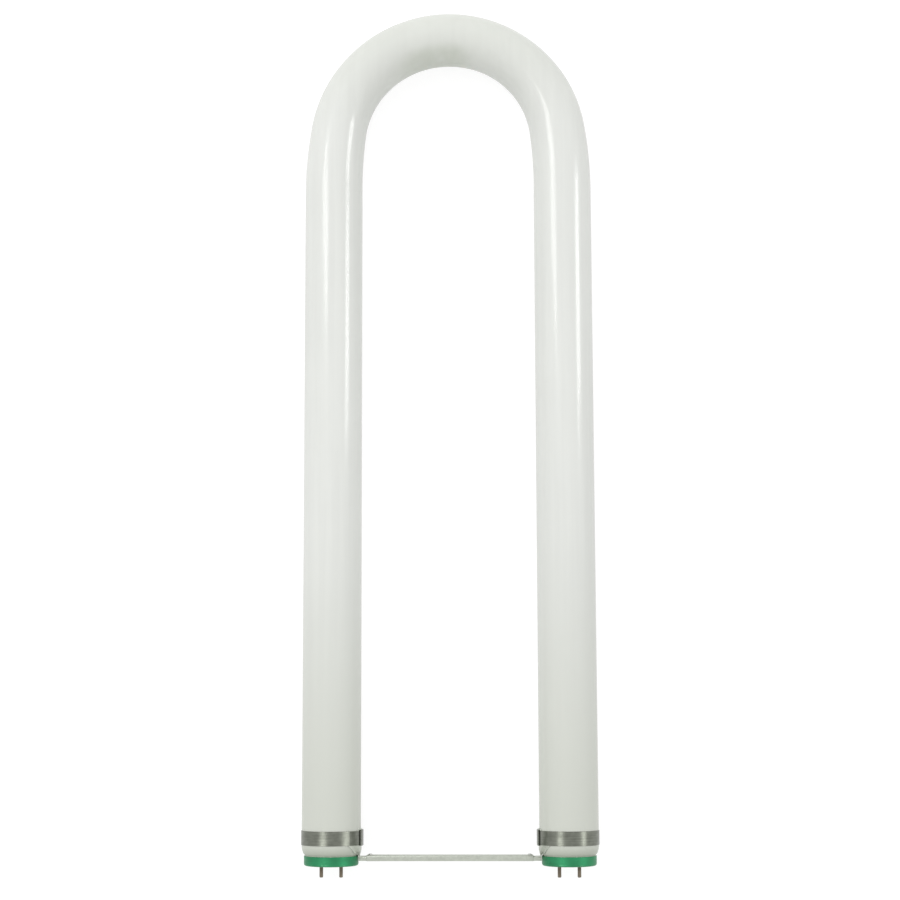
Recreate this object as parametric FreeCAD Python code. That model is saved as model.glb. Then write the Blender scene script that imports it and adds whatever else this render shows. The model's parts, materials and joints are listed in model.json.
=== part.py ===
import FreeCAD, Part
import math
import os

V = FreeCAD.Vector

# Sizes are in mm. The legs run along Y, the pins point to -Y and the bend is at +Y.
# Each leg end is drawn about the leg's own axis, with Y counted from the cap's end face.

# Whole lamp
overall_length = 571.5
leg_spacing = 152.4
tube_od = 38.0

# Bend: a haunch arc on each side of a crown arc, flattened on the way up
haunch_radius = 270.0
haunch_deg = 8.6
crown_flattening = 3.6
flatten_deg = 57.5

# End of the glass under the cap, and the hollow of its stem
shoulder_drop = 1.1
shoulder_run = 4.9
rim_height = 3.1
rim_width = 2.0
stem_radius = 8.0
stem_depth = 22.0
exhaust_radius = 2.2
exhaust_length = 9.0
exhaust_point = 2.5

# Cap shell
cap_inset = 1.5
cap_height = 6.3
cap_wall = 0.5
cap_floor = 0.9
cap_bevel = 1.0
cap_lip = 3.9

# Insulator disc, contact pins and lead wires
disc_thickness = 1.6
disc_clearance = 0.2
pin_spacing = 12.7
pin_diameter = 2.35
pin_length = 7.6
pin_root = 3.0
pin_tip_bevel = 0.6
wire_diameter = 0.6
wire_spread = 3.8
wire_bend_height = 4.0

# Strap, seal and saddle round each leg
strap_height = 13.2
strap_width = 9.1
strap_thickness = 0.35
lap_half_deg = 16.5
lap_step_deg = 3.5
lap_lead_deg = 0.5
lap_gap = 0.05
seal_thickness = 0.5
seal_half_deg = 17.0
saddle_thickness = 0.4
saddle_half_deg = 49.0
saddle_tab = 0.7
saddle_bend_height = 10.0
tail_clearance = 0.6
tail_height = 6.5
tail_taper_deg = 33.0
tail_taper_height = 8.3

# Crossbar between the saddles, and its rivets
bar_gap = 4.4
bar_width = 10.0
bar_low = 3.0
bar_height = 3.7
bar_wall = 0.7
bar_corner = 1.0
foot_overlap = 7.3
foot_height = 2.85
nest_clearance = 0.05
rivet_inset = 2.3
rivet_shank = 1.8
rivet_head = 2.8
rivet_head_height = 0.8
rivet_tail_height = 0.5

# Sizes that follow from the others
tube_r = tube_od / 2
cap_r = tube_r - cap_inset
neck_r = cap_r - cap_wall
cap_opening = cap_r - cap_bevel - cap_lip
saddle_r = tube_r + saddle_thickness
strap_r = tube_r + strap_thickness
lap_r = saddle_r + strap_thickness + lap_gap
seal_r = lap_r + strap_thickness
strap_top = strap_height + strap_width
shoulder_top = strap_height - seal_thickness
shoulder_low = shoulder_top - shoulder_run
shoulder_arc = (shoulder_run ** 2 + shoulder_drop ** 2) / (2 * shoulder_drop)
touch_deg = saddle_half_deg + math.degrees(math.acos(tube_r / saddle_r))
disc_top = cap_floor + disc_thickness
pin_r = pin_diameter / 2
wire_r = wire_diameter / 2
tail_r = cap_r + tail_clearance
leg_x = leg_spacing / 2
bar_end_r = tail_r + saddle_thickness + bar_gap
bar_top = bar_low + bar_height
foot_top = bar_top - bar_wall
foot_end_r = bar_end_r + foot_overlap
foot_half = bar_width / 2 - bar_wall - nest_clearance
rivet_r = bar_end_r + rivet_inset
base_y = -overall_length / 2 + pin_length
axis_z = strap_r

# Centreline of the bend, from the end of the straight leg to the crown, and the crown's section
crown_thickness = tube_od - crown_flattening
crown_radius = haunch_radius - (haunch_radius - leg_x) / math.cos(math.radians(haunch_deg))
crown_shift = (haunch_radius - leg_x) * math.tan(math.radians(haunch_deg))
bend_rise = crown_shift + crown_radius + crown_thickness / 2
bend_start = overall_length - pin_length - bend_rise
flat_deg = haunch_deg + flatten_deg


def outline(*steps):
    """Closed flat face; a step is the next point, or a middle and an end point of an arc."""
    here = V(*steps[0])
    edges = []
    for step in steps[1:] + (steps[0],):
        if isinstance(step[0], tuple):
            edges.append(Part.Arc(here, V(*step[0]), V(*step[1])).toShape())
            here = V(*step[1])
        elif (V(*step) - here).Length > 1e-6:
            edges.append(Part.makeLine(here, V(*step)))
            here = V(*step)
    return Part.Face(Part.Wire(edges))


def arc_step(x, y, radius, start_deg, end_deg):
    """Arc about (x, y) as a step of an outline in the XY plane."""
    points = []
    for degrees in ((start_deg + end_deg) / 2, end_deg):
        turn = math.radians(degrees)
        points.append((x + radius * math.cos(turn), y + radius * math.sin(turn)))
    return tuple(points)


def turned(face, degrees=360):
    return face.revolve(V(0, 0, 0), V(0, 1, 0), degrees)


def rod(radius, low, high, x=0):
    return Part.makeCylinder(radius, high - low, V(x, low, 0), V(0, 1, 0))


def right_side(shape):
    """Moves a leg end from its own frame to the right leg."""
    return shape.translated(V(leg_x, base_y, axis_z))


def left_side(shape):
    return right_side(shape).mirror(V(0, 0, 0), V(1, 0, 0))


# Glass bulb

def shoulder_steps():
    """The glass narrows below the strap and turns in to its neck above the cap's rim."""
    tilt_deg = math.degrees(math.asin(shoulder_run / shoulder_arc))
    drop = shoulder_low - cap_height
    shoulder = arc_step(tube_r - shoulder_arc, shoulder_top, shoulder_arc, -tilt_deg, 0)
    return (neck_r, cap_height + drop / 3), (tube_r - shoulder_drop, shoulder_low), shoulder


def leg_glass():
    """Straight leg with its neck, its rim and the stem's hollow with the exhaust tip."""
    tip = stem_depth - exhaust_length
    face = outline(
        (0, tip - exhaust_point),
        (exhaust_radius, tip),
        (exhaust_radius, stem_depth),
        (stem_radius, stem_depth),
        (neck_r - rim_width, rim_height),
        (neck_r, rim_height),
        *shoulder_steps(),
        (tube_r, bend_start),
        (0, bend_start),
    )
    return turned(face)


def haunch_point(degrees):
    turn = math.radians(degrees)
    x = leg_x - haunch_radius * (1 - math.cos(turn))
    return V(x, bend_start + haunch_radius * math.sin(turn), 0)


def crown_point(degrees):
    turn = math.radians(degrees)
    x = crown_radius * math.cos(turn)
    return V(x, bend_start + crown_shift + crown_radius * math.sin(turn), 0)


def flat_section():
    """Oval where the flattening ends: narrow in the plane of the U, tall across it."""
    turn = math.radians(flat_deg)
    centre = crown_point(flat_deg)
    within = V(math.cos(turn), math.sin(turn), 0) * (crown_thickness / 2)
    oval = Part.Ellipse(centre - V(0, 0, axis_z), centre + within, centre)
    return Part.Wire(oval.toShape())


def haunch():
    """Tube that flattens from round to oval, through the haunch arc into the crown arc."""
    start = haunch_point(0)
    down = start - V(0, 0, tube_r)
    up = start + V(0, 0, tube_r)
    round_end = Part.Circle(down, start + V(tube_r, 0, 0), up)
    leave = Part.Arc(start, haunch_point(haunch_deg / 2), haunch_point(haunch_deg))
    middle = crown_point((haunch_deg + flat_deg) / 2)
    climb = Part.Arc(crown_point(haunch_deg), middle, crown_point(flat_deg))
    path = Part.Wire([leave.toShape(), climb.toShape()])
    return path.makePipeShell([Part.Wire(round_end.toShape()), flat_section()], True, False)


def crown():
    """Top of the bend, of one oval section."""
    face = Part.Face(flat_section())
    return face.revolve(V(0, bend_start + crown_shift, 0), V(0, 0, 1), 180 - 2 * flat_deg)


def glass_bulb():
    leg = right_side(leg_glass())
    bend = haunch().translated(V(0, base_y, axis_z))
    half = leg.fuse(bend)
    top = crown().translated(V(0, base_y, axis_z))
    return top.fuse([half, half.mirror(V(0, 0, 0), V(1, 0, 0))])


# Cap shell, insulator disc, pins and wires

def cap_shell():
    face = outline(
        (cap_opening, 0),
        (cap_r - cap_bevel, 0),
        (cap_r, cap_bevel),
        (cap_r, cap_height),
        (neck_r, cap_height),
        (neck_r, cap_floor),
        (cap_opening, cap_floor),
    )
    return turned(face)


def insulator_disc():
    disc = rod(neck_r - disc_clearance, cap_floor, disc_top)
    for side in (-1, 1):
        disc = disc.cut(rod(pin_root / 2, cap_floor, disc_top, side * pin_spacing / 2))
    return disc


def contact_pin(side):
    """Tubular pin with a thicker root moulded into the disc."""
    face = outline(
        (wire_r, -pin_length),
        (pin_r - pin_tip_bevel, -pin_length),
        (pin_r, pin_tip_bevel - pin_length),
        (pin_r, cap_floor),
        (pin_root / 2, cap_floor),
        (pin_root / 2, disc_top),
        (wire_r, disc_top),
    )
    return turned(face).translated(V(side * pin_spacing / 2, 0, 0))


def lead_wire(side):
    """Wire that slopes from the glass stem to its pin and runs on to the pin's tip."""
    start = V(side * wire_spread, stem_depth, 0)
    bend = V(side * pin_spacing / 2, disc_top + wire_bend_height, 0)
    end = V(side * pin_spacing / 2, -pin_length, 0)
    ring = Part.makeCircle(wire_r, end, V(0, 1, 0))
    path = Part.makePolygon([end, bend, start + (start - bend)])
    wire = path.makePipeShell([Part.Wire(ring)], True, False, 1)
    return wire.common(rod(neck_r, -pin_length, stem_depth))


# Strap, seal and saddle

def round_point(radius, degrees):
    """Point round the leg's axis; zero degrees faces the other leg."""
    turn = math.radians(degrees)
    return V(-radius * math.cos(turn), 0, radius * math.sin(turn))


def round_arc(radius, start, end):
    middle = round_point(radius, (start + end) / 2)
    return Part.Arc(round_point(radius, start), middle, round_point(radius, end)).toShape()


def strap_side(offset):
    """Edges of one side of the strap, from its lower end round the leg to its upper end."""
    low = saddle_r + offset
    glass = tube_r + offset
    high = lap_r + offset
    leave = touch_deg - math.degrees(math.acos(glass / low))
    step_end = 360 - lap_half_deg - lap_lead_deg
    step_start = step_end - lap_step_deg
    return [
        round_arc(low, -lap_half_deg, leave),
        Part.makeLine(round_point(low, leave), round_point(glass, touch_deg)),
        round_arc(glass, touch_deg, 360 - touch_deg),
        Part.makeLine(round_point(glass, -touch_deg), round_point(low, -leave)),
        round_arc(low, 360 - leave, step_start),
        Part.makeLine(round_point(low, step_start), round_point(high, step_end)),
        round_arc(high, step_end, 360 + lap_half_deg),
    ]


def strap():
    """Flat strap round the glass and over the saddle, with its upper end lapped on the lower."""
    thick = strap_thickness
    lower = Part.makeLine(round_point(saddle_r, -lap_half_deg),
                          round_point(saddle_r + thick, -lap_half_deg))
    upper = Part.makeLine(round_point(lap_r, lap_half_deg),
                          round_point(lap_r + thick, lap_half_deg))
    edges = strap_side(0) + [upper] + strap_side(thick)[::-1] + [lower]
    band = Part.Face(Part.Wire(edges)).extrude(V(0, strap_width, 0))
    return band.translated(V(0, strap_height, 0))


def sector(inner, outer, half_deg, low, high):
    """Piece of a ring round the leg, centred on the side that faces the other leg."""
    edges = [
        round_arc(inner, -half_deg, half_deg),
        Part.makeLine(round_point(inner, half_deg), round_point(outer, half_deg)),
        round_arc(outer, half_deg, -half_deg),
        Part.makeLine(round_point(outer, -half_deg), round_point(inner, -half_deg)),
    ]
    ring = Part.Face(Part.Wire(edges)).extrude(V(0, high - low, 0))
    return ring.translated(V(0, low, 0))


def strap_seal():
    """Clip folded over both edges of the lapped strap."""
    low = strap_height - seal_thickness
    high = strap_top + seal_thickness
    clip = sector(saddle_r, seal_r + seal_thickness, seal_half_deg, low, high)
    return clip.cut(sector(tube_r, seal_r, 2 * seal_half_deg, strap_height, strap_top))


def saddle_sheet():
    """Sheet curved round the glass, whose tail bends inwards past the cap's rim."""
    thick = saddle_thickness
    top = strap_top + seal_thickness + saddle_tab
    low = foot_top - thick
    face = outline(
        (tube_r, top),
        (tube_r, saddle_bend_height),
        (tail_r, tail_height),
        (tail_r, low),
        (tail_r + thick, low),
        (tail_r + thick, tail_height),
        (tube_r + thick, saddle_bend_height),
        (tube_r + thick, top),
    )
    sheet = turned(face, 2 * saddle_half_deg)
    return sheet.rotated(V(0, 0, 0), V(0, 1, 0), 180 - saddle_half_deg)


def saddle_shape():
    """Outline of the sheet seen from the other leg: tab, full width, taper and narrow tail."""
    tab = saddle_r * math.sin(math.radians(seal_half_deg)) + saddle_tab
    edge = saddle_r * math.sin(math.radians(saddle_half_deg))
    narrow = tube_r * math.sin(math.radians(tail_taper_deg))
    half = [
        (tab, strap_top + seal_thickness + saddle_tab),
        (tab, strap_top),
        (saddle_r, strap_top),
        (edge, shoulder_top),
        (narrow, tail_taper_height),
        (foot_half, bar_top),
        (foot_half, foot_top - saddle_thickness),
    ]
    mirrored = [(-z, y) for z, y in reversed(half)]
    face = outline(*[(0, y, z) for z, y in half + mirrored])
    return face.extrude(V(-tube_od, 0, 0))


def channel(start, end, half, low, top, wall, corner):
    """U channel along X with its web on top and its sides pointing to -Y."""
    inner = corner - wall
    side = half - corner
    face = outline(
        (half, low),
        (half, top - corner),
        arc_step(side, top - corner, corner, 0, 90),
        (-side, top),
        arc_step(-side, top - corner, corner, 90, 180),
        (-half, low),
        (wall - half, low),
        (wall - half, top - corner),
        arc_step(-side, top - corner, inner, 180, 90),
        (side, top - wall),
        arc_step(side, top - corner, inner, 90, 0),
        (half - wall, low),
    )
    bar = face.extrude(V(0, 0, end - start))
    return bar.rotated(V(0, 0, 0), V(0, 1, 0), 90).translated(V(start, 0, 0))


def saddle():
    """Sheet on the glass, with a channel foot that nests in the end of the crossbar."""
    sheet = saddle_sheet().common(saddle_shape())
    foot_low = foot_top - foot_height
    foot = channel(-foot_end_r, 0, foot_half, foot_low, foot_top, saddle_thickness, bar_corner)
    foot = foot.cut(rod(tail_r, foot_low, foot_top))
    hole = rod(rivet_shank / 2, foot_low, foot_top, -rivet_r)
    return sheet.fuse(foot).cut(hole).removeSplitter()


# Crossbar and rivets

def crossbar():
    half = leg_x - bar_end_r
    bar = channel(-half, half, bar_width / 2, bar_low, bar_top, bar_wall, bar_corner)
    for side in (-1, 1):
        bar = bar.cut(rod(rivet_shank / 2, bar_low, bar_top, side * (leg_x - rivet_r)))
    return bar.translated(V(0, base_y, axis_z))


def rivet():
    """Rivet through both webs, with its bevelled head on the bend's side."""
    shank = rivet_shank / 2
    head = rivet_head / 2
    tail_top = foot_top - saddle_thickness
    face = outline(
        (0, tail_top - rivet_tail_height),
        (head, tail_top - rivet_tail_height),
        (head, tail_top),
        (shank, tail_top),
        (shank, bar_top),
        (head, bar_top),
        (shank, bar_top + rivet_head_height),
        (0, bar_top + rivet_head_height),
    )
    return turned(face).translated(V(-rivet_r, 0, 0))


leg_end = {
    "cap_shell": cap_shell(),
    "insulator_disc": insulator_disc(),
    "outer_pin": contact_pin(1),
    "inner_pin": contact_pin(-1),
    "outer_lead_wire": lead_wire(1),
    "inner_lead_wire": lead_wire(-1),
    "strap": strap(),
    "strap_seal": strap_seal(),
    "saddle": saddle(),
    "rivet": rivet(),
}

nodes = {"glass_bulb": glass_bulb(), "crossbar": crossbar()}
for name, shape in leg_end.items():
    nodes["right_" + name] = right_side(shape)
    nodes["left_" + name] = left_side(shape)

os.makedirs("parts", exist_ok=True)
for name, shape in nodes.items():
    shape.exportStep("parts/" + name + ".step")
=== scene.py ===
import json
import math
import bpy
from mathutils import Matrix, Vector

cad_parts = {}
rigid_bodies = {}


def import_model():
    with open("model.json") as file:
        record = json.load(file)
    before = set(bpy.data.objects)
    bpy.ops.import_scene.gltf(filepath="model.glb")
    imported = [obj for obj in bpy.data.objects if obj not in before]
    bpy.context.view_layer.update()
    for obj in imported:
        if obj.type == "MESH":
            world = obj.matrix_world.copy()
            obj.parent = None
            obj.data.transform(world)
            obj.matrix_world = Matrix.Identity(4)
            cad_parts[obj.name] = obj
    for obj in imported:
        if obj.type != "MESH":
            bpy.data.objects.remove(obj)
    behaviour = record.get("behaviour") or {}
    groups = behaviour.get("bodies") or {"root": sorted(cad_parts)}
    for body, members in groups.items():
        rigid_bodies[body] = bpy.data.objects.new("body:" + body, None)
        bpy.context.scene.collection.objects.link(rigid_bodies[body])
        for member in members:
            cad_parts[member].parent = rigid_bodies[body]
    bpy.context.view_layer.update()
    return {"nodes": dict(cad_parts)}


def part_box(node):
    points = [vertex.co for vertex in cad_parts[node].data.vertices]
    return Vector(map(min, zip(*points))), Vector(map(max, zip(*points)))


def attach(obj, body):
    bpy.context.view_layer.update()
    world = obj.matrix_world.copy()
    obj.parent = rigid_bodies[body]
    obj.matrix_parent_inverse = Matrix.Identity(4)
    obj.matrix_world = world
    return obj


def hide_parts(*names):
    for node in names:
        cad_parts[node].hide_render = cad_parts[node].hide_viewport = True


bl_info = {
    "name": "U shaped fluorescent bulb",
    "version": (1, 0, 0),
    "blender": (4, 5, 0),
    "location": "3D Viewport > Sidebar > Bulb",
    "description": "Dresses a U shaped fluorescent bulb and sets the studio round it",
    "category": "Object",
}

import bmesh
import bpy
from bpy.props import FloatProperty, FloatVectorProperty, IntProperty, PointerProperty
from mathutils import Matrix, Vector

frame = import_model()

SIDES = {"left": -1, "right": 1}
CAP_LOW, CAP_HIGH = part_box("right_cap_shell")
PIN_LOW, PIN_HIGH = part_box("right_outer_pin")
RIVET_LOW, RIVET_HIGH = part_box("right_rivet")
STRAP_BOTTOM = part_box("right_strap")[0].y
GLASS_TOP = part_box("glass_bulb")[1].y
BAR_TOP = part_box("crossbar")[1].y

LEG_X = (CAP_LOW.x + CAP_HIGH.x) / 2
AXIS_Z = (CAP_LOW.z + CAP_HIGH.z) / 2
BASE_Y = CAP_LOW.y
CAP_RADIUS = CAP_HIGH.x - LEG_X
CAP_HEIGHT = CAP_HIGH.y - BASE_Y
PIN_ROOT_RADIUS = (PIN_HIGH.x - PIN_LOW.x) / 2
RIVET_HEAD_RADIUS = (RIVET_HIGH.x - RIVET_LOW.x) / 2

# The floor: the colour that lights the bulb, and the shade and glow that are seen
PAPER = (0.82, 0.82, 0.82, 1)
SEEN_PAPER = (0.28, 0.28, 0.28, 1)
PAPER_GLOW = 0.83


# Sizes and colours that a user would change

class BulbGlass(bpy.types.PropertyGroup):
    tube_diameter: FloatProperty(
        name="Tube diameter", description="Outside diameter of the straight legs",
        default=0.038, min=0.01, unit="LENGTH", precision=4)
    haunch_radius: FloatProperty(
        name="Haunch radius", description="Centreline radius where the bend leaves a leg",
        default=0.27, unit="LENGTH", precision=4)
    haunch_angle: FloatProperty(
        name="Haunch angle", description="Turn of the bend before the crown starts",
        default=math.radians(8.6), subtype="ANGLE")
    crown_flattening: FloatProperty(
        name="Crown flattening", description="How much thinner the tube is across the crown",
        default=0.0036, unit="LENGTH", precision=4)
    flatten_lead: FloatProperty(
        name="Flatten lead", description="Length of straight leg in which the flattening starts",
        default=0.012, unit="LENGTH", precision=4)
    flatten_length: FloatProperty(
        name="Flatten length", description="Length of tube in which it goes from round to oval",
        default=0.138, unit="LENGTH", precision=4)
    shoulder_run: FloatProperty(
        name="Shoulder run", description="Length of the curve from the leg in to the neck",
        default=0.0049, unit="LENGTH", precision=4)
    shoulder_drop: FloatProperty(
        name="Shoulder drop", description="How far the glass draws in along that curve",
        default=0.0011, unit="LENGTH", precision=4)
    sides: IntProperty(
        name="Sides", description="Faces round the tube", default=96, min=16)
    coating: FloatVectorProperty(
        name="Coating", description="Colour of the white coating inside the glass",
        subtype="COLOR", default=(0.81, 0.822, 0.794), min=0, max=1)
    # Coating colour for painted shade, towards the caps and across the top of the bend
    shaded_coating: FloatVectorProperty(
        name="Shaded coating", description="Colour of the coating in painted shade, near the caps and in the bend",
        subtype="COLOR", default=(0.665, 0.685, 0.625), min=0, max=1)
    # Neck colour: bare glass, with painted shade below the strap
    bare_shaded_glass: FloatVectorProperty(
        name="Bare shaded glass", description="Colour of the neck, bare glass where the coating ends, with painted shade below the strap",
        subtype="COLOR", default=(0.40, 0.435, 0.35), min=0, max=1)
    # Colour of the painted shade inside the crown
    crown_shade_colour: FloatVectorProperty(
        name="Crown shade colour", description="Colour of the patch inside the crown",
        subtype="COLOR", default=(0.33, 0.40, 0.25), min=0, max=1)
    glass_tint: FloatVectorProperty(
        name="Glass tint", description="Tint of the clear glass over the coating",
        subtype="COLOR", default=(0.97, 0.975, 0.96), min=0, max=1)


class BulbCaps(bpy.types.PropertyGroup):
    corner: FloatProperty(
        name="Corner", description="Rounding where the shell turns in under the cap",
        default=0.0014, unit="LENGTH", precision=4)
    wall: FloatProperty(
        name="Wall", description="Thickness of the shell's side wall",
        default=0.0005, unit="LENGTH", precision=4)
    floor: FloatProperty(
        name="Floor", description="Thickness of the shell's end wall",
        default=0.0009, unit="LENGTH", precision=4)
    opening: FloatProperty(
        name="Opening", description="Radius of the opening that shows the disc",
        default=0.0126, unit="LENGTH", precision=4)
    pin_radius: FloatProperty(
        name="Pin radius", description="Radius of a contact pin below the cap",
        default=0.001175, unit="LENGTH", precision=6)
    pin_bore: FloatProperty(
        name="Pin bore", description="Radius of the wire's hole through a pin",
        default=0.0003, unit="LENGTH", precision=5)
    pin_tip: FloatProperty(
        name="Pin tip", description="Rounding of a pin's tip",
        default=0.0006, unit="LENGTH", precision=5)
    green: FloatVectorProperty(
        name="Green", description="Colour of the lacquered shell",
        subtype="COLOR", default=(0.015, 0.24, 0.094), min=0, max=1)
    brass: FloatVectorProperty(
        name="Brass", description="Colour of the contact pins",
        subtype="COLOR", default=(0.25, 0.212, 0.16), min=0, max=1)
    board: FloatVectorProperty(
        name="Board", description="Colour of the insulator disc",
        subtype="COLOR", default=(0.115, 0.062, 0.035), min=0, max=1)


class BulbBrace(bpy.types.PropertyGroup):
    strap_metal: FloatVectorProperty(
        name="Strap metal", description="Colour of the brushed steel strap",
        subtype="COLOR", default=(0.198, 0.208, 0.177), min=0, max=1)
    bar_metal: FloatVectorProperty(
        name="Bar metal", description="Colour of the zinc plated bar and saddles",
        subtype="COLOR", default=(0.505, 0.53, 0.47), min=0, max=1)
    rivet_metal: FloatVectorProperty(
        name="Rivet metal", description="Colour of the rivets",
        subtype="COLOR", default=(0.60, 0.60, 0.58), min=0, max=1)
    sheared_edge: FloatProperty(
        name="Sheared edge", description="Rounding of the edges of the strap and the saddles",
        default=0.00009, unit="LENGTH", precision=5)
    folded_edge: FloatProperty(
        name="Folded edge", description="Rounding of the folded seal's edges",
        default=0.00024, unit="LENGTH", precision=5)
    rivet_shank: FloatProperty(
        name="Rivet shank", description="Radius of the rivet between its heads",
        default=0.0009, unit="LENGTH", precision=5)
    rivet_tail: FloatProperty(
        name="Rivet tail", description="Height of the head that was set under the saddle",
        default=0.0005, unit="LENGTH", precision=5)
    tail_round: FloatProperty(
        name="Tail rounding", description="Rounding of the head that was set",
        default=0.0002, unit="LENGTH", precision=5)
    head_round: FloatProperty(
        name="Head rounding", description="Rounding of the rivet's domed head",
        default=0.00075, unit="LENGTH", precision=5)


class BulbStage(bpy.types.PropertyGroup):
    sky: FloatProperty(
        name="Sky", description="Strength of the even light from all round", default=0.82, min=0)
    key: FloatProperty(
        name="Key", description="Brightness of the wide lamp beyond the bend", default=1.65, min=0)
    streak: FloatProperty(
        name="Streak", description="Brightness of the two small lamps that streak the glass",
        default=9.0, min=0)
    glint: FloatProperty(
        name="Glint", description="Brightness of the two lamps that show only in the metal",
        default=9.8, min=0)
    lens: FloatProperty(
        name="Lens", description="Focal length on a 36 mm frame", default=79.7, min=1)


# Mesh helpers

def lathe(mesh, profile, centre, steps, rounding=None, closed=True):
    """Spins an outline of (radius, height) points round an axis along Y.

    Rounding gives the radius of each corner that is rounded, by the corner's number.
    """
    points = [mesh.verts.new((centre.x + r, centre.y + y, centre.z)) for r, y in profile]
    edges = [mesh.edges.new(pair) for pair in zip(points, points[1:])]
    if closed:
        edges.append(mesh.edges.new((points[-1], points[0])))
    for corner, radius in (rounding or {}).items():
        bmesh.ops.bevel(mesh, geom=[points[corner]], offset=radius, offset_type="OFFSET",
                        segments=5, profile=0.5, affect="VERTICES", material=-1)
    bmesh.ops.spin(mesh, geom=mesh.verts[:] + mesh.edges[:], cent=centre, axis=(0, 1, 0),
                   angle=math.tau, steps=steps, use_merge=True)
    bmesh.ops.remove_doubles(mesh, verts=mesh.verts, dist=1e-7)


def add_piece(name, mesh, slot, finish, *replaced):
    """Turns a bmesh into a named piece of the bulb that stands for its CAD nodes."""
    bmesh.ops.recalc_face_normals(mesh, faces=mesh.faces)
    for face in mesh.faces:
        face.smooth = True
    data = bpy.data.meshes.new(name)
    mesh.to_mesh(data)
    mesh.free()
    data.set_sharp_from_angle(angle=math.radians(35))
    piece = bpy.data.objects.new(name, data)
    bpy.context.scene.collection.objects.link(piece)
    data.materials.append(finish)
    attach(piece, "root")
    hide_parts(*replaced)


def round_edges(node, name, slot, finish, radius):
    """Copies a sheet metal node as a new piece and rounds its sheared edges."""
    mesh = bmesh.new()
    mesh.from_mesh(frame["nodes"][node].data)
    bmesh.ops.remove_doubles(mesh, verts=mesh.verts, dist=1e-6)
    bmesh.ops.dissolve_limit(mesh, verts=mesh.verts, edges=mesh.edges,
                             angle_limit=math.radians(0.4))
    sheared = [edge for edge in mesh.edges if edge.is_manifold and edge.is_convex
               and edge.calc_face_angle() > math.radians(40)]
    bmesh.ops.bevel(mesh, geom=sheared, offset=radius, offset_type="OFFSET", segments=2,
                    profile=0.5, affect="EDGES", material=-1, clamp_overlap=True)
    add_piece(name, mesh, slot, finish, node)


def dress(node, finish):
    """Gives a CAD node its finish."""
    piece = frame["nodes"][node]
    for slot in piece.material_slots:
        slot.material = finish


# Material helpers

def new_finish(name, **values):
    """Material with a Principled shader whose sockets take the given values."""
    finish = bpy.data.materials.new(name)
    finish.use_nodes = True
    tree = finish.node_tree
    shader = tree.nodes["Principled BSDF"]
    for socket, value in values.items():
        shader.inputs[socket.replace("_", " ")].default_value = value
    return finish, tree, shader


def stretched(tree, scale, offset=(0, 0, 0)):
    """Object coordinates scaled along each axis, then moved by offset."""
    place = tree.nodes.new("ShaderNodeTexCoord")
    mapping = tree.nodes.new("ShaderNodeMapping")
    mapping.inputs["Scale"].default_value = scale
    mapping.inputs["Location"].default_value = offset
    tree.links.new(place.outputs["Object"], mapping.inputs["Vector"])
    return mapping.outputs["Vector"]


def grain(tree, scale, detail=2.0, rough=0.5):
    """Noise between 0 and 1 whose features are 1 / scale metres along each axis."""
    noise = tree.nodes.new("ShaderNodeTexNoise")
    noise.inputs["Scale"].default_value = 1
    noise.inputs["Detail"].default_value = detail
    noise.inputs["Roughness"].default_value = rough
    tree.links.new(stretched(tree, scale), noise.inputs["Vector"])
    return noise.outputs["Fac"]


def spread(tree, value, low, high, to_low=0.0, to_high=1.0):
    """Maps a value's range from low..high smoothly to to_low..to_high."""
    node = tree.nodes.new("ShaderNodeMapRange")
    node.interpolation_type = "SMOOTHSTEP"
    for socket, number in zip(("From Min", "From Max", "To Min", "To Max"),
                              (low, high, to_low, to_high)):
        node.inputs[socket].default_value = number
    tree.links.new(value, node.inputs["Value"])
    return node.outputs["Result"]


def blend_colour(tree, share, first, second):
    """Mixes two colours, each a socket or a plain colour, by a share between 0 and 1."""
    mix = tree.nodes.new("ShaderNodeMix")
    mix.data_type = "RGBA"
    tree.links.new(share, mix.inputs["Factor"])
    for number, colour in ((6, first), (7, second)):
        if isinstance(colour, bpy.types.NodeSocket):
            tree.links.new(colour, mix.inputs[number])
        else:
            mix.inputs[number].default_value = (*colour[:3], 1)
    return mix.outputs[2]


def maths(tree, operation, first, second):
    """Result of a Math node on two values, each a socket or a plain number."""
    node = tree.nodes.new("ShaderNodeMath")
    node.operation = operation
    for socket, value in zip(node.inputs, (first, second)):
        if isinstance(value, bpy.types.NodeSocket):
            tree.links.new(value, socket)
        else:
            socket.default_value = value
    return node.outputs["Value"]


def relief(tree, shader, height, depth, sockets=("Normal",)):
    """Raises the surface by a height between 0 and 1 times depth in metres."""
    bump = tree.nodes.new("ShaderNodeBump")
    bump.inputs["Distance"].default_value = depth
    tree.links.new(height, bump.inputs["Height"])
    for socket in sockets:
        tree.links.new(bump.outputs["Normal"], shader.inputs[socket])


def along_leg(tree):
    """Height along the legs, in metres above the caps' end faces."""
    place = tree.nodes.new("ShaderNodeTexCoord")
    split = tree.nodes.new("ShaderNodeSeparateXYZ")
    tree.links.new(place.outputs["Object"], split.inputs["Vector"])
    return maths(tree, "SUBTRACT", split.outputs["Y"], BASE_Y)


def across_brushing(tree):
    """Direction of the legs: light spreads that way on metal that is brushed round a leg."""
    direction = tree.nodes.new("ShaderNodeCombineXYZ")
    direction.inputs["Y"].default_value = 1
    return direction.outputs["Vector"]


# Finishes

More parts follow.
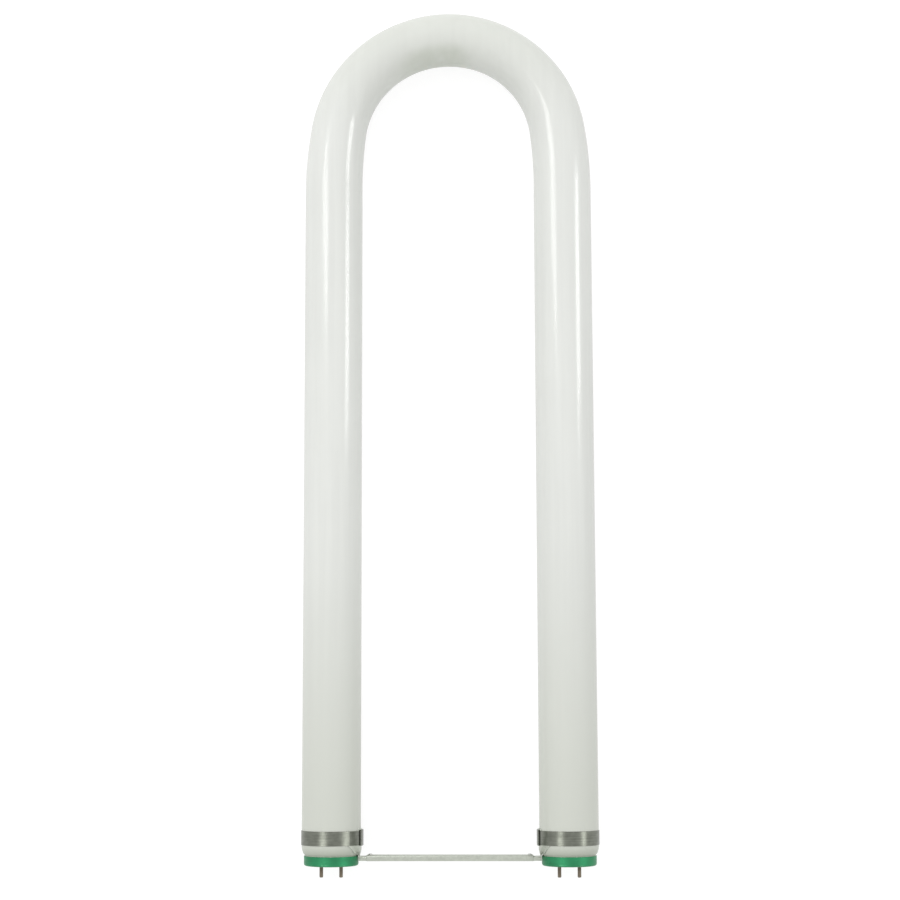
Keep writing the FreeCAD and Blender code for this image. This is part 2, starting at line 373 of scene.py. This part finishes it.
def painted_crown_shade(tree, crown, wall):
    """1 in a cloudy patch of painted shade on the inside of the crown, which the lamps light less.

    Crown is the centre of the crown's arc, and wall the radius of the tube's inner side there.
    """
    across = tree.nodes.new("ShaderNodeVectorMath")
    across.operation = "LENGTH"
    tree.links.new(stretched(tree, (1, 1, 0), (0, -crown.y, 0)), across.inputs[0])
    split = tree.nodes.new("ShaderNodeSeparateXYZ")
    tree.links.new(stretched(tree, (1, 1, 1)), split.inputs["Vector"])
    inside = spread(tree, across.outputs["Value"], wall + 0.0117, wall + 0.0037)
    left_end = spread(tree, split.outputs["X"], -0.040, -0.016)
    right_end = spread(tree, split.outputs["X"], 0.020, 0.004)
    clouds = spread(tree, grain(tree, (90, 60, 60), detail=3), 0.25, 0.6, 0.45, 1.0)
    patch = maths(tree, "MULTIPLY", maths(tree, "MULTIPLY", left_end, right_end), inside)
    return maths(tree, "MULTIPLY", patch, clouds)


def coated_glass(sizes, crown, wall):
    """Clear glass over a white coating, with painted shade towards the caps, across the top of the
    bend and inside the crown, and a darker neck.
    """
    finish, tree, shader = new_finish(
        "coated_glass", Roughness=0.55, IOR=1.45, Specular_IOR_Level=0.1,
        Coat_Weight=0.45, Coat_Roughness=0.15, Coat_IOR=1.5,
        Coat_Tint=(*sizes.glass_tint, 1))
    clouds = grain(tree, (16, 9, 16), detail=4)
    runs = grain(tree, (210, 5, 210), detail=3)
    speckle = grain(tree, (2600, 2600, 2600), detail=1)
    patchy = maths(tree, "ADD", maths(tree, "MULTIPLY", clouds, 0.55),
                   maths(tree, "MULTIPLY", runs, 0.45))
    light = tuple(min(1.0, channel * 1.02) for channel in sizes.coating)
    dark = tuple(channel * 0.965 for channel in sizes.coating)
    coat = blend_colour(tree, spread(tree, patchy, 0.35, 0.65), light, dark)
    height = along_leg(tree)
    # Painted shade: the coating darkens towards the caps and across the top of the bend, standing
    # for less light there
    near_cap = spread(tree, height, 0.0, 0.24, 1.0, 0.0)
    in_bend = spread(tree, height, 0.47, 0.56, 0.0, 0.45)
    coat = blend_colour(tree, maths(tree, "ADD", near_cap, in_bend), coat, sizes.shaded_coating)
    # Darker towards the cap: bare glass where the coating ends, and painted shade below the strap
    bare = spread(tree, height, 0.0150, 0.0058, 0.0, 0.75)
    coat = blend_colour(tree, bare, coat, sizes.bare_shaded_glass)
    # Painted shade in a cloudy patch on the inside of the crown
    crown_shade_share = maths(tree, "MULTIPLY", painted_crown_shade(tree, crown, wall), 0.24)
    coat = blend_colour(tree, crown_shade_share, coat, sizes.crown_shade_colour)
    tree.links.new(coat, shader.inputs["Base Color"])
    tree.links.new(spread(tree, speckle, 0.3, 0.7, 0.5, 0.62), shader.inputs["Roughness"])
    ripple = grain(tree, (12, 8, 12), detail=2)
    relief(tree, shader, ripple, 0.00022, ("Normal", "Coat Normal"))
    return finish


def green_lacquer(sizes, side):
    """Green lacquer on turned aluminium, rubbed brighter at the rim and the corner."""
    finish, tree, shader = new_finish(
        "green_cap_" + side, Metallic=0.55, Roughness=0.52, Anisotropic=0.4,
        Coat_Weight=0.15, Coat_Roughness=0.14, Coat_IOR=1.5)
    lines = grain(tree, (60, 5200, 60), detail=2)
    clouds = grain(tree, (130, 260, 130), detail=4)
    deep = tuple(channel * 0.82 for channel in sizes.green)
    colour = blend_colour(tree, spread(tree, clouds, 0.3, 0.7), sizes.green, deep)
    bare = (0.62, 0.66, 0.62)
    height = along_leg(tree)
    low_edge = spread(tree, height, 0.0006, 0.0, 0.0, 1.0)
    high_edge = spread(tree, height, CAP_HEIGHT - 0.0003, CAP_HEIGHT, 0.0, 1.0)
    edge = maths(tree, "MAXIMUM", low_edge, high_edge)
    chips = spread(tree, grain(tree, (900, 900, 900), detail=5, rough=0.7), 0.56, 0.62)
    worn = maths(tree, "MULTIPLY", maths(tree, "MULTIPLY", edge, chips), 0.55)
    colour = blend_colour(tree, worn, colour, bare)
    tree.links.new(colour, shader.inputs["Base Color"])
    tree.links.new(spread(tree, lines, 0.3, 0.7, 0.46, 0.60), shader.inputs["Roughness"])
    tree.links.new(across_brushing(tree), shader.inputs["Tangent"])
    relief(tree, shader, lines, 0.000006)
    return finish


def pressed_board(sizes):
    """Brown pressed board with paper fibres."""
    finish, tree, shader = new_finish("disc", Roughness=0.6, IOR=1.5)
    fibres = grain(tree, (420, 3000, 1700), detail=4, rough=0.65)
    pale = tuple(min(1.0, channel * 1.9) for channel in sizes.board)
    colour = blend_colour(tree, spread(tree, fibres, 0.35, 0.75), sizes.board, pale)
    tree.links.new(colour, shader.inputs["Base Color"])
    tree.links.new(spread(tree, fibres, 0.3, 0.7, 0.5, 0.72), shader.inputs["Roughness"])
    relief(tree, shader, fibres, 0.00004)
    return finish


def tarnished_brass(sizes):
    """Brass that has gone brown in patches, brighter at the tips."""
    finish, tree, shader = new_finish("pin_brass", Metallic=1.0, Roughness=0.34)
    patches = grain(tree, (700, 420, 700), detail=5, rough=0.6)
    scratches = grain(tree, (5200, 300, 5200), detail=2)
    brown = tuple(channel * 0.34 for channel in sizes.brass)
    height = along_leg(tree)
    near_cap = spread(tree, height, PIN_LOW.y - BASE_Y, 0.0, 0.0, 0.5)
    shade = maths(tree, "ADD", spread(tree, patches, 0.3, 0.7, 0.15, 0.45), near_cap)
    colour = blend_colour(tree, shade, sizes.brass, brown)
    tree.links.new(colour, shader.inputs["Base Color"])
    tree.links.new(spread(tree, scratches, 0.3, 0.7, 0.26, 0.48), shader.inputs["Roughness"])
    relief(tree, shader, scratches, 0.00001)
    return finish


def drawn_wire():
    """Nickel plated wire with fine drawing marks along its length."""
    finish, tree, shader = new_finish("wire", Metallic=1.0, Roughness=0.3)
    marks = grain(tree, (6000, 260, 6000), detail=2)
    colour = blend_colour(tree, spread(tree, marks, 0.3, 0.7),
                          (0.56, 0.50, 0.43), (0.40, 0.34, 0.28))
    tree.links.new(colour, shader.inputs["Base Color"])
    tree.links.new(spread(tree, marks, 0.3, 0.7, 0.24, 0.42), shader.inputs["Roughness"])
    return finish


def brushed_strap(sizes, side):
    """Dark steel strap, brushed round its length, with dull patches."""
    finish, tree, shader = new_finish(
        "strap_steel_" + side, Metallic=1.0, Roughness=0.42, Anisotropic=0.93)
    lines = grain(tree, (30, 5200, 30), detail=3, rough=0.6)
    patches = grain(tree, (260, 330, 260), detail=4)
    light = tuple(min(1.0, channel * 1.3) for channel in sizes.strap_metal)
    dark = tuple(channel * 0.72 for channel in sizes.strap_metal)
    share = maths(tree, "ADD", maths(tree, "MULTIPLY", lines, 0.75),
                  maths(tree, "MULTIPLY", patches, 0.25))
    colour = blend_colour(tree, spread(tree, share, 0.35, 0.65), dark, light)
    tree.links.new(colour, shader.inputs["Base Color"])
    tree.links.new(spread(tree, lines, 0.3, 0.7, 0.36, 0.50), shader.inputs["Roughness"])
    tree.links.new(across_brushing(tree), shader.inputs["Tangent"])
    relief(tree, shader, lines, 0.00001)
    return finish


def zinc_plate(sizes):
    """Pale zinc plate with a fine spangle and rolling marks along the bar."""
    finish, tree, shader = new_finish("bar_steel", Metallic=1.0, Roughness=0.42)
    spangle = tree.nodes.new("ShaderNodeTexVoronoi")
    spangle.inputs["Scale"].default_value = 1
    tree.links.new(stretched(tree, (900, 1100, 900)), spangle.inputs["Vector"])
    rolled = grain(tree, (70, 2600, 2600), detail=3)
    dull = grain(tree, (150, 300, 300), detail=4)
    light = tuple(min(1.0, channel * 1.06) for channel in sizes.bar_metal)
    dark = tuple(channel * 0.92 for channel in sizes.bar_metal)
    flakes = maths(tree, "MULTIPLY", spangle.outputs["Color"], 0.35)
    share = maths(tree, "ADD", flakes, maths(tree, "MULTIPLY", dull, 0.65))
    colour = blend_colour(tree, spread(tree, share, 0.3, 0.75), light, dark)
    tree.links.new(colour, shader.inputs["Base Color"])
    tree.links.new(spread(tree, rolled, 0.3, 0.7, 0.36, 0.52), shader.inputs["Roughness"])
    relief(tree, shader, rolled, 0.00001)
    return finish


def rivet_steel(sizes):
    """Bright steel rivets with small dents from the set."""
    finish, tree, shader = new_finish("rivet_metal", Metallic=1.0, Roughness=0.36)
    dents = grain(tree, (1500, 1500, 1500), detail=3)
    dark = tuple(channel * 0.7 for channel in sizes.rivet_metal)
    colour = blend_colour(tree, spread(tree, dents, 0.35, 0.7), sizes.rivet_metal, dark)
    tree.links.new(colour, shader.inputs["Base Color"])
    tree.links.new(spread(tree, dents, 0.3, 0.7, 0.28, 0.46), shader.inputs["Roughness"])
    relief(tree, shader, dents, 0.00003)
    return finish


# Pieces

def leg_profile(sizes, leg_top):
    """Glass of a leg end: exhaust tip, stem hollow, rim, neck, shoulder and straight leg."""
    r = sizes.tube_diameter / 2
    exhaust_r, point, tip = 0.0022, 0.0105, 0.013
    stem_r, stem_top = 0.008, 0.022
    rim_width, rim_y = 0.002, 0.0031
    cap_wall = neck_end = strap_gap = 0.0005
    neck = CAP_RADIUS - cap_wall
    run, drop = sizes.shoulder_run, sizes.shoulder_drop
    low = STRAP_BOTTOM - BASE_Y - strap_gap - run
    shoulder = [(r - drop * (1 - step / 6) ** 2, low + run * step / 6) for step in range(7)]
    return [(0, point), (exhaust_r, tip), (exhaust_r, stem_top), (stem_r, stem_top),
            (neck - rim_width, rim_y), (neck, rim_y), (neck, CAP_HEIGHT + neck_end),
            *shoulder, (r, 0.1), (r, 0.2), (r, 0.3), (r, leg_top)]


class BULB_OT_glass(bpy.types.Operator):
    """Build the bent glass tube"""
    bl_idname = "bulb.glass"
    bl_label = "Glass tube"
    bl_options = {"REGISTER", "UNDO"}

    def execute(self, context):
        sizes = context.scene.bulb_glass
        r = sizes.tube_diameter / 2
        reach = sizes.haunch_radius - LEG_X
        crown_r = sizes.haunch_radius - reach / math.cos(sizes.haunch_angle)
        crown_half = r - sizes.crown_flattening / 2
        crown_y = GLASS_TOP - crown_r - crown_half
        bend_y = crown_y - reach * math.tan(sizes.haunch_angle)
        haunch = Vector((LEG_X - sizes.haunch_radius, bend_y, AXIS_Z))
        crown = Vector((0, crown_y, AXIS_Z))
        mesh = bmesh.new()
        profile = leg_profile(sizes, bend_y - BASE_Y - sizes.flatten_lead)
        lathe(mesh, profile, Vector((LEG_X, BASE_Y, AXIS_Z)), sizes.sides, closed=False)
        top = max(vert.co.y for vert in mesh.verts)
        ring = [edge for edge in mesh.edges
                if all(abs(vert.co.y - top) < 1e-6 for vert in edge.verts)]
        crown_angle = math.pi / 2 - sizes.haunch_angle
        runs = (
            (6, sizes.flatten_lead, 0, haunch),
            (20, sizes.haunch_radius * sizes.haunch_angle, sizes.haunch_angle, haunch),
            (72, crown_r * crown_angle, crown_angle, crown),
        )
        self.sweep_bend(mesh, ring, Vector((LEG_X, top, AXIS_Z)), runs, sizes, crown_half / r)
        bmesh.ops.mirror(mesh, geom=mesh.verts[:] + mesh.edges[:] + mesh.faces[:],
                         axis="X", merge_dist=1e-5)
        finish = coated_glass(sizes, crown, crown_r - crown_half)
        add_piece("glass_tube", mesh, "coated_glass", finish, "glass_bulb")
        return {"FINISHED"}

    def sweep_bend(self, mesh, ring, middle, runs, sizes, thin):
        """Extrudes the leg's top ring along the bend, and flattens it on the way.

        A run is its number of steps, its length, its turn and the centre that it turns about.
        """
        tall = AXIS_Z / (sizes.tube_diameter / 2)
        before = Vector((1, 1))
        angle = 0.0
        gone = 0.0
        for steps, length, turn, centre in runs:
            if turn:
                move = (Matrix.Translation(centre) @ Matrix.Rotation(turn / steps, 4, "Z")
                        @ Matrix.Translation(-centre))
            else:
                move = Matrix.Translation((0, length / steps, 0))
            for step in range(steps):
                made = bmesh.ops.extrude_edge_only(mesh, edges=ring)["geom"]
                verts = [part for part in made if isinstance(part, bmesh.types.BMVert)]
                ring = [part for part in made if isinstance(part, bmesh.types.BMEdge)]
                bmesh.ops.transform(mesh, matrix=move, verts=verts)
                middle = move @ middle
                angle += turn / steps
                gone += length / steps
                share = min(gone / sizes.flatten_length, 1.0)
                ease = share * share * (3 - 2 * share)
                after = Vector((1 + (thin - 1) * ease, 1 + (tall - 1) * ease))
                across = Matrix.Translation(middle) @ Matrix.Rotation(angle, 4, "Z")
                scale = Matrix.Diagonal((after.x / before.x, 1, after.y / before.y, 1))
                bmesh.ops.transform(mesh, matrix=across @ scale @ across.inverted(), verts=verts)
                before = after


class BULB_OT_caps(bpy.types.Operator):
    """Build the green cap shells and finish the discs inside them"""
    bl_idname = "bulb.caps"
    bl_label = "Caps"
    bl_options = {"REGISTER", "UNDO"}

    def execute(self, context):
        sizes = context.scene.bulb_caps
        board = pressed_board(sizes)
        inner = CAP_RADIUS - sizes.wall
        profile = [(sizes.opening, 0), (CAP_RADIUS, 0), (CAP_RADIUS, CAP_HEIGHT),
                   (inner, CAP_HEIGHT), (inner, sizes.floor), (sizes.opening, sizes.floor)]
        rounding = {0: sizes.floor * 0.4, 1: sizes.corner,
                    2: sizes.wall * 0.4, 3: sizes.wall * 0.4}
        for side, sign in SIDES.items():
            mesh = bmesh.new()
            centre = Vector((sign * LEG_X, BASE_Y, AXIS_Z))
            lathe(mesh, profile, centre, steps=120, rounding=rounding)
            add_piece(side + "_cap", mesh, "green_cap", green_lacquer(sizes, side),
                      side + "_cap_shell")
            dress(side + "_insulator_disc", board)
        return {"FINISHED"}


class BULB_OT_pins(bpy.types.Operator):
    """Build the tubular contact pins and finish their wires"""
    bl_idname = "bulb.pins"
    bl_label = "Contact pins"
    bl_options = {"REGISTER", "UNDO"}

    def execute(self, context):
        sizes = context.scene.bulb_caps
        brass = tarnished_brass(sizes)
        wire = drawn_wire()
        shank, bore = sizes.pin_radius, sizes.pin_bore
        floor = BASE_Y + sizes.floor
        profile = [(bore, PIN_LOW.y), (shank, PIN_LOW.y), (shank, floor),
                   (PIN_ROOT_RADIUS, floor), (PIN_ROOT_RADIUS, PIN_HIGH.y), (bore, PIN_HIGH.y)]
        bore_round = 0.0002
        rounding = {0: bore_round, 1: sizes.pin_tip}
        for side in SIDES:
            for place in ("outer", "inner"):
                node = side + "_" + place + "_pin"
                low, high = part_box(node)
                mesh = bmesh.new()
                centre = Vector(((low.x + high.x) / 2, 0, AXIS_Z))
                lathe(mesh, profile, centre, steps=48, rounding=rounding)
                add_piece(side + "_" + place + "_contact", mesh, "pin_brass", brass, node)
                dress(side + "_" + place + "_lead_wire", wire)
        return {"FINISHED"}


class BULB_OT_straps(bpy.types.Operator):
    """Build the straps with their seals"""
    bl_idname = "bulb.straps"
    bl_label = "Straps"
    bl_options = {"REGISTER", "UNDO"}

    def execute(self, context):
        sizes = context.scene.bulb_brace
        for side in SIDES:
            steel = brushed_strap(sizes, side)
            round_edges(side + "_strap", side + "_band", "strap_steel", steel,
                        sizes.sheared_edge)
            round_edges(side + "_strap_seal", side + "_seal", "strap_steel", steel,
                        sizes.folded_edge)
        return {"FINISHED"}


class BULB_OT_brace(bpy.types.Operator):
    """Build the saddles, the crossbar and the rivets"""
    bl_idname = "bulb.brace"
    bl_label = "Saddles, crossbar and rivets"
    bl_options = {"REGISTER", "UNDO"}

    def execute(self, context):
        sizes = context.scene.bulb_brace
        zinc = zinc_plate(sizes)
        steel = rivet_steel(sizes)
        round_edges("crossbar", "brace_bar", "bar_steel", zinc, 2 * sizes.sheared_edge)
        head, shank = RIVET_HEAD_RADIUS, sizes.rivet_shank
        tail_top = RIVET_LOW.y + sizes.rivet_tail
        profile = [(0, RIVET_LOW.y), (head, RIVET_LOW.y), (head, tail_top), (shank, tail_top),
                   (shank, BAR_TOP), (head, BAR_TOP), (head, RIVET_HIGH.y), (0, RIVET_HIGH.y)]
        rounding = {1: sizes.tail_round, 6: sizes.head_round}
        for side in SIDES:
            round_edges(side + "_saddle", side + "_bracket", "bar_steel", zinc,
                        sizes.sheared_edge)
            low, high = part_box(side + "_rivet")
            mesh = bmesh.new()
            centre = Vector(((low.x + high.x) / 2, 0, AXIS_Z))
            lathe(mesh, profile, centre, steps=40, rounding=rounding, closed=False)
            add_piece(side + "_domed_rivet", mesh, "rivet_metal", steel, side + "_rivet")
        return {"FINISHED"}


# Studio

def aim(thing, place, target):
    """Puts a lamp at place and turns it towards target."""
    thing.location = place
    thing.rotation_euler = (Vector(target) - Vector(place)).to_track_quat("-Z", "Y").to_euler()


def add_lamp(name, place, target, length, width, brightness, mirrored=True, only=()):
    """Rectangular lamp; brightness is what it shows where it is seen in a mirror.

    A mirrored lamp only puts its gloss on things, and any other only lights them.
    With pieces in only, no other piece gets the gloss.
    """
    light = bpy.data.lights.new(name, "AREA")
    light.shape = "RECTANGLE"
    light.size = length
    light.size_y = width
    light.energy = brightness * math.pi * width * length
    lamp = bpy.data.objects.new(name, light)
    bpy.context.scene.collection.objects.link(lamp)
    lamp.visible_glossy = mirrored
    lamp.visible_diffuse = not mirrored
    if only:
        lamp.light_linking.receiver_collection = bpy.data.collections.new(name)
        for piece in only:
            lamp.light_linking.receiver_collection.objects.link(piece)
    aim(lamp, place, target)


def seen_directly(tree):
    """1 for rays from the camera, from a mirror or through glass, and 0 for other light."""
    path = tree.nodes.new("ShaderNodeLightPath")
    direct = maths(tree, "MAXIMUM", path.outputs["Is Camera Ray"], path.outputs["Is Glossy Ray"])
    return maths(tree, "MAXIMUM", direct, path.outputs["Is Transmission Ray"])


def studio_floor():
    """White floor: plain paper for the light, and a pale sheet with the shadow when seen."""
    finish = bpy.data.materials.new("studio_floor")
    finish.use_nodes = True
    tree = finish.node_tree
    tree.nodes.clear()
    paper = tree.nodes.new("ShaderNodeBsdfDiffuse")
    paper.inputs["Color"].default_value = PAPER
    shaded = tree.nodes.new("ShaderNodeBsdfDiffuse")
    shaded.inputs["Color"].default_value = SEEN_PAPER
    glow = tree.nodes.new("ShaderNodeEmission")
    glow.inputs["Strength"].default_value = PAPER_GLOW
    both = tree.nodes.new("ShaderNodeAddShader")
    choose = tree.nodes.new("ShaderNodeMixShader")
    out = tree.nodes.new("ShaderNodeOutputMaterial")
    tree.links.new(shaded.outputs[0], both.inputs[0])
    tree.links.new(glow.outputs[0], both.inputs[1])
    tree.links.new(seen_directly(tree), choose.inputs[0])
    tree.links.new(paper.outputs[0], choose.inputs[1])
    tree.links.new(both.outputs[0], choose.inputs[2])
    tree.links.new(choose.outputs[0], out.inputs["Surface"])
    return finish


class BULB_OT_stage(bpy.types.Operator):
    """Add the floor, the studio light and the camera"""
    bl_idname = "bulb.stage"
    bl_label = "Studio"
    bl_options = {"REGISTER", "UNDO"}

    def execute(self, context):
        sizes = context.scene.bulb_stage
        mesh = bmesh.new()
        bmesh.ops.create_grid(mesh, x_segments=1, y_segments=1, size=6)
        data = bpy.data.meshes.new("floor")
        mesh.to_mesh(data)
        mesh.free()
        floor = bpy.data.objects.new("floor", data)
        context.scene.collection.objects.link(floor)
        data.materials.append(studio_floor())

        world = bpy.data.worlds.new("studio")
        world.use_nodes = True
        context.scene.world = world
        tree = world.node_tree
        background = tree.nodes["Background"]
        background.inputs["Color"].default_value = (1, 1, 1, 1)
        strength = maths(tree, "MAXIMUM", seen_directly(tree), sizes.sky)
        tree.links.new(strength, background.inputs["Strength"])

        middle = (0, 0.08, 0.02)
        base = (0, -0.25, 0.02)
        add_lamp("key", (-0.7, 1.6, 2.0), (0, 0.1, 0), 2.6, 1.4, sizes.key, mirrored=False)
        add_lamp("left_streak", (-0.525, 0.382, 0.828), middle, 0.19, 0.38, sizes.streak)
        add_lamp("right_streak", (1.72, 0.51, 1.0), middle, 0.41, 0.55, 1.5 * sizes.streak)
        metal = [piece for piece in bpy.data.objects
                 if piece.name.endswith(("_cap", "_band", "_seal"))]
        add_lamp("left_glint", (-0.525, -0.8, 0.828), base, 0.5, 0.3, sizes.glint, only=metal)
        add_lamp("right_glint", (1.72, -1.3, 1.0), base, 0.9, 0.35, sizes.glint, only=metal)

        camera_data = bpy.data.cameras.new("camera")
        camera_data.sensor_width = 36
        camera_data.lens = sizes.lens
        camera = bpy.data.objects.new("camera", camera_data)
        context.scene.collection.objects.link(camera)
        place = Vector((0.0554, -0.18095, 1.31565))
        tilt, lean, roll = 0.1309, 0.0417, -0.0087
        turned = (Matrix.Rotation(tilt, 4, "X") @ Matrix.Rotation(lean, 4, "Y")
                  @ Matrix.Rotation(roll, 4, "Z"))
        camera.matrix_world = Matrix.Translation(place) @ turned
        context.scene.camera = camera
        context.scene.view_settings.view_transform = "Standard"
        return {"FINISHED"}


class BULB_PT_panel(bpy.types.Panel):
    """Settings and steps of the bulb"""
    bl_idname = "BULB_PT_panel"
    bl_label = "U shaped bulb"
    bl_space_type = "VIEW_3D"
    bl_region_type = "UI"
    bl_category = "Bulb"

    def draw(self, context):
        scene = context.scene
        groups = (
            (scene.bulb_glass, ("bulb.glass",)),
            (scene.bulb_caps, ("bulb.caps", "bulb.pins")),
            (scene.bulb_brace, ("bulb.straps", "bulb.brace")),
            (scene.bulb_stage, ("bulb.stage",)),
        )
        for settings, steps in groups:
            box = self.layout.box()
            for name in settings.__annotations__:
                box.prop(settings, name)
            for step in steps:
                box.operator(step)


GROUPS = {
    "bulb_glass": BulbGlass,
    "bulb_caps": BulbCaps,
    "bulb_brace": BulbBrace,
    "bulb_stage": BulbStage,
}
CLASSES = (
    BULB_OT_glass,
    BULB_OT_caps,
    BULB_OT_pins,
    BULB_OT_straps,
    BULB_OT_brace,
    BULB_OT_stage,
    BULB_PT_panel,
)


def register():
    for name, group in GROUPS.items():
        bpy.utils.register_class(group)
        setattr(bpy.types.Scene, name, PointerProperty(type=group))
    for item in CLASSES:
        bpy.utils.register_class(item)


def unregister():
    for item in reversed(CLASSES):
        bpy.utils.unregister_class(item)
    for name, group in GROUPS.items():
        delattr(bpy.types.Scene, name)
        bpy.utils.unregister_class(group)


def main():
    register()
    bpy.ops.bulb.glass()
    bpy.ops.bulb.caps()
    bpy.ops.bulb.pins()
    bpy.ops.bulb.straps()
    bpy.ops.bulb.brace()
    bpy.ops.bulb.stage()


if __name__ == "__main__":
    main()
